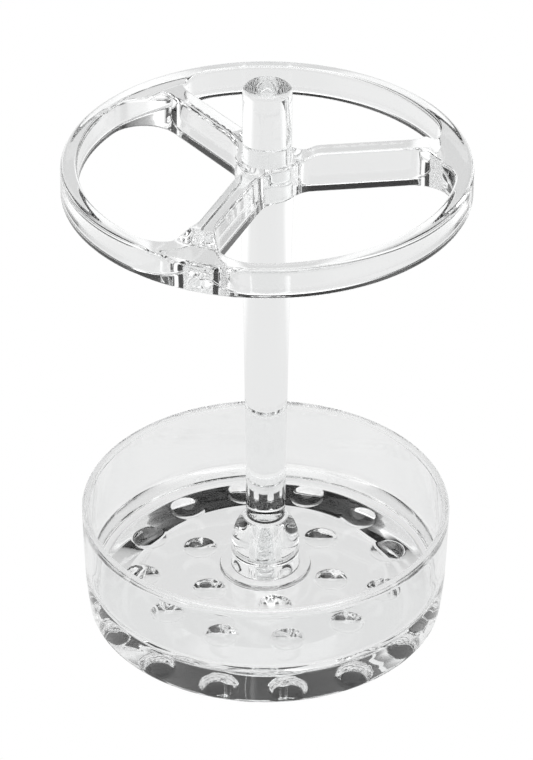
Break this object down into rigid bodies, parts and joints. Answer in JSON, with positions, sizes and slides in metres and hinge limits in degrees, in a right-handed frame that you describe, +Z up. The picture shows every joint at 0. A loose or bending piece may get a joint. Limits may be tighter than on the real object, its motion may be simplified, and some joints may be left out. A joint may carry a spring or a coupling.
{
  "type": "toothbrush stand",
  "caption": "Free-standing clear acrylic toothbrush stand: thick-floored round cup, tapered screw-in column and a spoked rack wheel near the top.",
  "frame": {"origin": "on the column's axis, in the plane the cup rests on", "axes": "+Z up along the column's axis; the camera side of the pictured object is -Y, and one spoke points 7 degrees from +X"},
  "size_m": [0.108, 0.108, 0.1636],
  "materials": {
    "cup_acrylic": "polished clear acrylic",
    "column_acrylic": "polished clear acrylic",
    "rack_acrylic": "polished clear acrylic"
  },
  "bodies": {
    "base": {"base_cup": "cup_acrylic"},
    "rack": {"rack_wheel": "rack_acrylic"},
    "column": {"column": "column_acrylic"}
  },
  "joints": [
    {"name": "rack_rise", "type": "slide", "parent": "base", "child": "rack", "axis": [0, 0, 1], "range_m": [0, 0.02187]},
    {"name": "column_turn", "type": "hinge", "parent": "rack", "child": "column", "pos_m": [0, 0, 0.1], "axis": [0, 0, 1], "range_deg": [0, 4500]}
  ],
  "couplings": [
    {"joint": "column_turn", "follows": "rack_rise", "rad_per_m": 3590.4}
  ]
}
